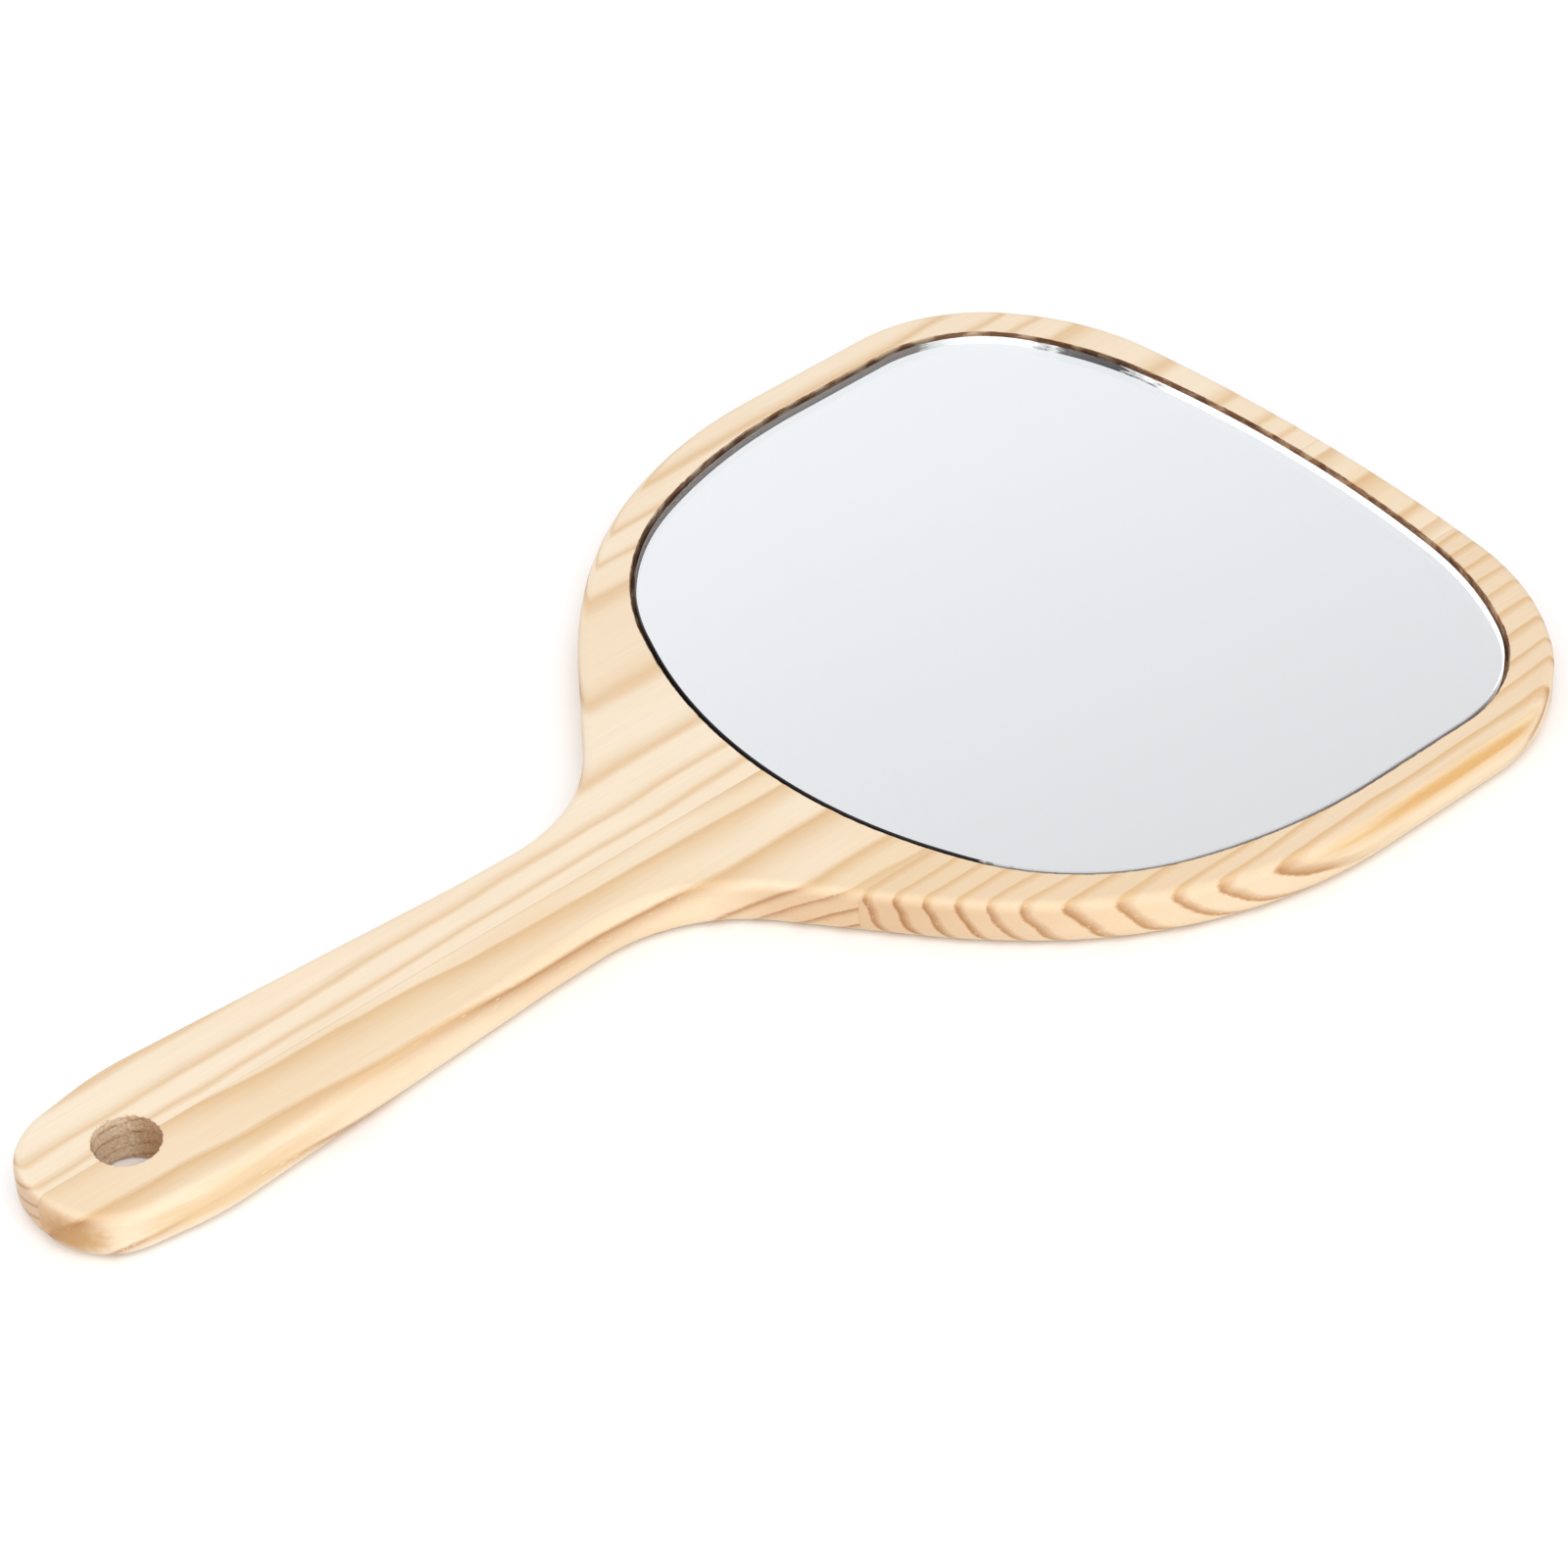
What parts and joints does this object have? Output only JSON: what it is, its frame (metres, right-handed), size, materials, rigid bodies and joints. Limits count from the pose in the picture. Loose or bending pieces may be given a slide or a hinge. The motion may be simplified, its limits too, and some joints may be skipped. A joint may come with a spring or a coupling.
{
  "type": "hand mirror",
  "caption": "Flat wooden hand mirror: a broad rounded head with an inset glass mirror, tapering to a straight handle with a hanging hole in its round end.",
  "frame": {"origin": "middle of the overall length and width, on the plane of the flat wooden back face", "axes": "+Y runs along the mirror from the handle to the head, +X is to the right seen from the mirror side, +Z points out of the mirror face"},
  "size_m": [0.182, 0.32, 0.011],
  "materials": {
    "left_board_pine": "sanded, thin satin clear coat, wide pine grain",
    "centre_board_pine": "sanded, thin satin clear coat, wide pine grain",
    "right_board_pine": "sanded, thin satin clear coat, close pine grain",
    "clear_glass": "polished, ground front edge",
    "silvering": "mirror",
    "grey_backing_paint": "matt paint",
    "white_foam_tape": "matt closed-cell foam"
  },
  "bodies": {
    "root": {"left_board": "left_board_pine", "centre_board": "centre_board_pine", "right_board": "right_board_pine", "glass_pane": "clear_glass", "silver_layer": "silvering", "backing_paint": "grey_backing_paint", "foam_tape_strips": "white_foam_tape"}
  },
  "joints": []
}
